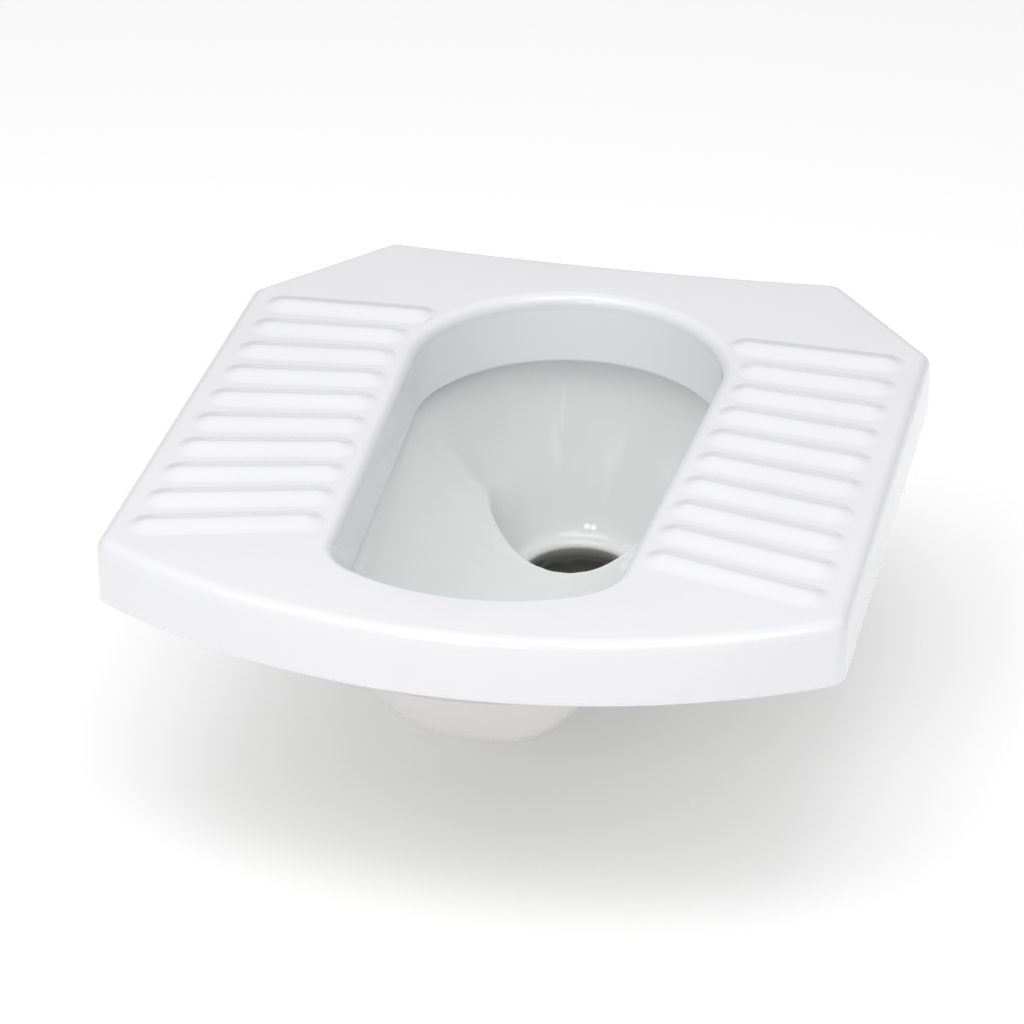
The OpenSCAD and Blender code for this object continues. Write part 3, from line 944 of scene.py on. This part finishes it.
# The collar's radius, and its height from the joint.
collar = np.array([[spigot_r, -14], [spigot_r + 0.4, -11], [spigot_r + 1.6, -8],
                   [neck_r - 0.6, -5], [neck_r, -3], [neck_r, 0]])
spigot = loft("outlet_spigot_wall", turned(np.vstack([
    bend([bore_r + mouth_r, joint_z - mouth_r], mouth_r, 90, 180, steps=10),
    [[bore_r, z] for z in bore_rings],
    bend([bore_r + bore_edge_r, bore_edge_r], bore_edge_r, 180, 270, steps=4),
    bend([spigot_r - spigot_edge_r, spigot_edge_r], spigot_edge_r, -90, 0, steps=6),
    [[spigot_r, z] for z in wall_rings],
    collar + [0, joint_z],
]), steps=128), sharp=50)
point_outwards(spigot)
at = places(spigot)
radius, height = np.hypot(at[:, 0], at[:, 1]), at[:, 2]
# Heights over which the bare finish and the painted shade change.
foot_bare = (1.0, 3.5)
bore_bare = (26, 32)
shade_top = (38.5, 42.5)
shade_foot = (4, 30)
shade_least, shade_more = 0.8, 0.2
bore_near = 0.5
mouth_near = 4
in_bore = radius < bore_r + bore_near
in_mouth = radius < bore_r + mouth_near
bare = np.maximum(1 - eased(*foot_bare, height), in_bore * (1 - eased(*bore_bare, height)))
# Painted shade: how dark the bore is painted, a little less near the foot.
depth = shade_least + shade_more * eased(*shade_foot, height)
paint(spigot, "bare", bare)
# Painted shade: the bore and the mouth's inner edge are painted dark, fading out at the mouth's
# top.
paint(spigot, "painted_shade", in_mouth * (1 - eased(*shade_top, height)) * depth)
dress(spigot, "outlet_spigot", under_glaze)

# ---- Flush inlet horn: its foot flares onto the rim, and a flush pipe stops against its port ----
horn_r = inlet_od / 2
horn_end = skirt_back - inlet_inset
horn_middle = 100
horn_lip_r = 2.5
bore_lip_r = 1.5
port_edge = 1
pipe_r = inlet_d / 2
pipe_stop = open_back + rim_w + stop_t
# Out from the horn's wall, and along it from the outlet's middle.
flare = np.array([[3.4, 0], [1.6, 90.6], [0.5, 92.2], [0, 94.2], [0, horn_middle]])
horn_rings = turned(np.vstack([
    flare + [horn_r, 0],
    bend([horn_r - horn_lip_r, horn_end - horn_lip_r], horn_lip_r, 0, 90, steps=6),
    bend([pipe_r + bore_lip_r, horn_end - bore_lip_r], bore_lip_r, 90, 180, steps=4),
    [[pipe_r, horn_middle], [pipe_r, pipe_stop], [port_r + port_edge, pipe_stop],
     [port_r, pipe_stop - port_edge], [port_r, 0]],
]), inlet_z)
# Its two end rings lie on the rim's round back.
for ring in (horn_rings[0], horn_rings[-1]):
    ring[:, 1] = back_arc_y + np.sqrt((open_back_r + rim_w) ** 2 - ring[:, 0] ** 2)
horn = loft("flush_inlet_horn", horn_rings, sharp=50)
point_outwards(horn)
end_bare = (-1.2, -0.2)
paint(horn, "bare", eased(*end_bare, places(horn)[:, 1] - horn_end))
dress(horn, "flush_inlet", under_glaze)

# ---- Webs keep the construction's shape ----
for name in ("left_webs", "right_webs"):
    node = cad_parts[name]
    node.data.materials.clear()
    node.data.materials.append(under_glaze)

# ---- Stage and light ----
floor_half = 6.0
floor_glow = 0.12
floor_rough = 0.9
floor_white = (0.95, 0.95, 0.95, 1)
floor_mesh = bpy.data.meshes.new("studio_floor")
floor_mesh.from_pydata([(-floor_half, -floor_half, 0), (floor_half, -floor_half, 0),
                        (floor_half, floor_half, 0), (-floor_half, floor_half, 0)],
                       [], [(0, 1, 2, 3)])
floor = placed("studio_floor", floor_mesh)
floor_paint, _, floor_shader = new_material("floor_paint")
floor_shader.inputs["Base Color"].default_value = floor_white
floor_shader.inputs["Roughness"].default_value = floor_rough
floor_shader.inputs["Specular IOR Level"].default_value = 0.1
floor_shader.inputs["Emission Color"].default_value = (1, 1, 1, 1)
floor_shader.inputs["Emission Strength"].default_value = floor_glow
floor_mesh.materials.append(floor_paint)

light_aim = Vector((0, -0.2, 0.1))


def soft_box(name, turn, rise, distance, width, height, power):
    """A soft rectangular light, turned from the front towards the right and raised, in degrees."""
    turn, rise = math.radians(turn), math.radians(rise)
    way = Vector((math.sin(turn) * math.cos(rise), -math.cos(turn) * math.cos(rise),
                  math.sin(rise)))
    data = bpy.data.lights.new(name, "AREA")
    data.shape = "RECTANGLE"
    data.size = width
    data.size_y = height
    data.energy = power
    light = placed(name, data)
    light.location = light_aim + way * distance
    light.rotation_euler = way.to_track_quat("Z", "Y").to_euler()


soft_box("left_front_box", turn=-42, rise=56, distance=3.0, width=1.8, height=1.4, power=12)
soft_box("right_front_box", turn=36, rise=56, distance=3.0, width=1.8, height=1.4, power=13)
soft_box("overhead_box", turn=0, rise=76, distance=3.0, width=2.0, height=1.6, power=20)
for name, turn in (("window_left_pane", -14), ("window_right_pane", -3)):
    soft_box(name, turn, rise=31, distance=2.6, width=0.36, height=0.40, power=3.2)

# The sky is soft grey at the horizon and brighter overhead.
sky_low, sky_high = 0.42, 0.70
sky_top = 0.9
world = bpy.data.worlds.new("studio")
world.use_nodes = True
tree = world.node_tree
sky = tree.nodes["Background"]
sky.inputs["Color"].default_value = (1, 1, 1, 1)
look = tree.nodes.new("ShaderNodeTexCoord")
part = tree.nodes.new("ShaderNodeSeparateXYZ")
tree.links.new(look.outputs["Generated"], part.inputs["Vector"])
glow = ramp(tree, part.outputs["Z"], 0.0, sky_top, sky_low, sky_high)
tree.links.new(glow, sky.inputs["Strength"])
bpy.context.scene.world = world
bpy.context.scene.view_settings.view_transform = "Standard"
